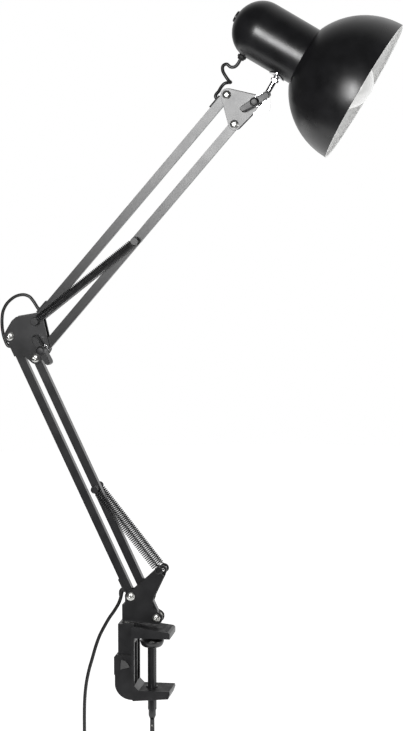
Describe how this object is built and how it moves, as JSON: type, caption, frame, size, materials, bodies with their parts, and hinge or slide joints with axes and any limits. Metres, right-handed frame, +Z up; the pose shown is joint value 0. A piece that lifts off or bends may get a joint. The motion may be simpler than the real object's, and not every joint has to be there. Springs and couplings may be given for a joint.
{
  "type": "architect desk lamp",
  "caption": "Clamp-on desk lamp with two spring-held parallelogram arms, a swivelling base and a tilting bell-shaped head.",
  "frame": {"origin": "underside of the clamp's upper jaw, on the axis of the clamp screw", "axes": "+Z up, +X the way the jaws reach over the desk and the lamp head looks, the arms fold in the XZ plane, -Y is the side of the wing knobs"},
  "size_m": [0.4486, 0.1654, 0.9351],
  "materials": {
    "black_plastic": "moulded, fine texture",
    "black_paint": "satin powder coat",
    "shade_paint": "satin black outside, white inside",
    "chrome": "polished",
    "zinc_steel": "zinc plated",
    "black_spring": "blackened",
    "nylon": "natural",
    "holder_white": "glazed",
    "opal_glass": "opal",
    "bush_rubber": "matt",
    "cord_sheath": "smooth PVC",
    "plug_plastic": "moulded"
  },
  "bodies": {
    "clamp": {"clamp_frame": "black_plastic", "socket_bush": "black_plastic", "screw_nut": "zinc_steel"},
    "pin_lock": {"pin_lock_screw": "black_plastic"},
    "pad": {"clamp_pad": "black_plastic"},
    "screw": {"clamp_screw": "black_paint", "wing_handle": "black_plastic", "screw_rivets": "zinc_steel"},
    "base": {"base_bracket": "black_paint", "swivel_pin": "chrome", "base_bolts": "chrome", "base_nuts": "black_paint", "base_washers": "nylon", "lower_springs": "black_spring", "mains_cord": "cord_sheath", "cord_hank": "cord_sheath", "mains_plug": "plug_plastic"},
    "lower_rear": {"lower_bar_rear": "black_paint", "lower_cord_bushes": "bush_rubber", "lower_bar_cord": "cord_sheath"},
    "lower_front": {"lower_bar_front": "black_paint", "lower_spring_stud": "black_spring"},
    "elbow": {"elbow_plate_near": "black_paint", "elbow_plate_far": "black_paint", "elbow_bolts": "chrome", "elbow_nuts": "black_paint", "elbow_washers": "nylon", "elbow_spring_stud": "black_spring", "elbow_clamp_bolt": "chrome", "elbow_cord": "cord_sheath", "upper_springs": "black_spring"},
    "elbow_knob": {"elbow_wing_knob": "black_plastic"},
    "upper_rear": {"upper_bar_rear": "black_paint", "upper_cord_bushes": "bush_rubber", "upper_bar_cord": "cord_sheath"},
    "upper_front": {"upper_bar_front": "black_paint", "upper_spring_stud": "black_spring"},
    "head_bracket": {"head_plate_near": "black_paint", "head_plate_far": "black_paint", "head_bolts": "chrome", "head_nuts": "black_paint", "head_washers": "nylon", "head_clamp_bolt": "chrome", "head_cord": "cord_sheath"},
    "head_knob": {"head_wing_knob": "black_plastic"},
    "fork": {"head_yoke": "chrome", "head_rod": "chrome", "rod_nut": "chrome"},
    "head": {"cup_saddle": "chrome", "lamp_cup": "shade_paint", "shade": "shade_paint", "shade_collar": "shade_paint", "lamp_holder": "holder_white", "holder_ring": "holder_white", "bulb_glass": "opal_glass", "bulb_base": "zinc_steel", "switch_body": "black_plastic", "cord_grommet": "bush_rubber", "cup_lead": "cord_sheath"},
    "button": {"switch_button": "black_plastic"}
  },
  "joints": [
    {"name": "base_swivel", "type": "hinge", "parent": "clamp", "child": "base", "pos_m": [-0.028, 0, 0], "axis": [0, 0, 1], "range_deg": [-110, 110]},
    {"name": "lower_arm", "type": "hinge", "parent": "base", "child": "lower_rear", "pos_m": [-0.023, 0, 0.045], "axis": [0, -1, 0], "range_deg": [-65, 9], "deforming": ["mains_cord"]},
    {"name": "lower_front_pivot", "type": "hinge", "parent": "base", "child": "lower_front", "pos_m": [0.006, 0, 0.021], "axis": [0, -1, 0], "range_deg": [-65, 9], "deforming": ["lower_springs"]},
    {"name": "elbow_level", "type": "hinge", "parent": "lower_rear", "child": "elbow", "pos_m": [-0.15951, 0, 0.33774], "axis": [0, -1, 0], "range_deg": [-9, 65], "deforming": ["elbow_cord"]},
    {"name": "upper_arm", "type": "hinge", "parent": "elbow", "child": "upper_rear", "pos_m": [-0.12951, 0, 0.35574], "axis": [0, -1, 0], "range_deg": [-85, 35]},
    {"name": "upper_front_pivot", "type": "hinge", "parent": "elbow", "child": "upper_front", "pos_m": [-0.12101, 0, 0.32374], "axis": [0, -1, 0], "range_deg": [-85, 35], "deforming": ["upper_springs"]},
    {"name": "head_level", "type": "hinge", "parent": "upper_rear", "child": "head_bracket", "pos_m": [0.08546, 0, 0.60743], "axis": [0, -1, 0], "range_deg": [-35, 85]},
    {"name": "head_tilt", "type": "hinge", "parent": "head_bracket", "child": "fork", "pos_m": [0.11806, 0, 0.60013], "axis": [0, -1, 0], "range_deg": [-50, 40], "deforming": ["head_cord"]},
    {"name": "head_swivel", "type": "hinge", "parent": "fork", "child": "head", "pos_m": [0.12256, 0, 0.59753], "axis": [0.5, 0, 0.866], "range_deg": [-60, 60]},
    {"name": "clamp_travel", "type": "slide", "parent": "clamp", "child": "pad", "axis": [0, 0, 1], "range_m": [-0.04, 0.0055]},
    {"name": "clamp_screw_turn", "type": "hinge", "parent": "pad", "child": "screw", "pos_m": [0, 0, -0.05], "axis": [0, 0, 1], "continuous": true},
    {"name": "pin_lock_turn", "type": "hinge", "parent": "clamp", "child": "pin_lock", "pos_m": [-0.028, 0, -0.031], "axis": [0, -1, 0], "continuous": true},
    {"name": "elbow_knob_turn", "type": "hinge", "parent": "elbow", "child": "elbow_knob", "pos_m": [-0.12101, 0, 0.32374], "axis": [0, -1, 0], "continuous": true},
    {"name": "head_knob_turn", "type": "hinge", "parent": "head_bracket", "child": "head_knob", "pos_m": [0.11806, 0, 0.60013], "axis": [0, -1, 0], "continuous": true},
    {"name": "switch_press", "type": "slide", "parent": "head", "child": "button", "axis": [0.866, 0, -0.5], "range_m": [0, 0.0015], "stiffness_N_per_m": 600, "springref_m": -0.0006}
  ],
  "couplings": [
    {"joint": "lower_front_pivot", "follows": "lower_arm", "ratio": 1},
    {"joint": "elbow_level", "follows": "lower_arm", "ratio": -1},
    {"joint": "upper_front_pivot", "follows": "upper_arm", "ratio": 1},
    {"joint": "head_level", "follows": "upper_arm", "ratio": -1},
    {"joint": "clamp_screw_turn", "follows": "clamp_travel", "rad_per_m": 4188.8}
  ]
}
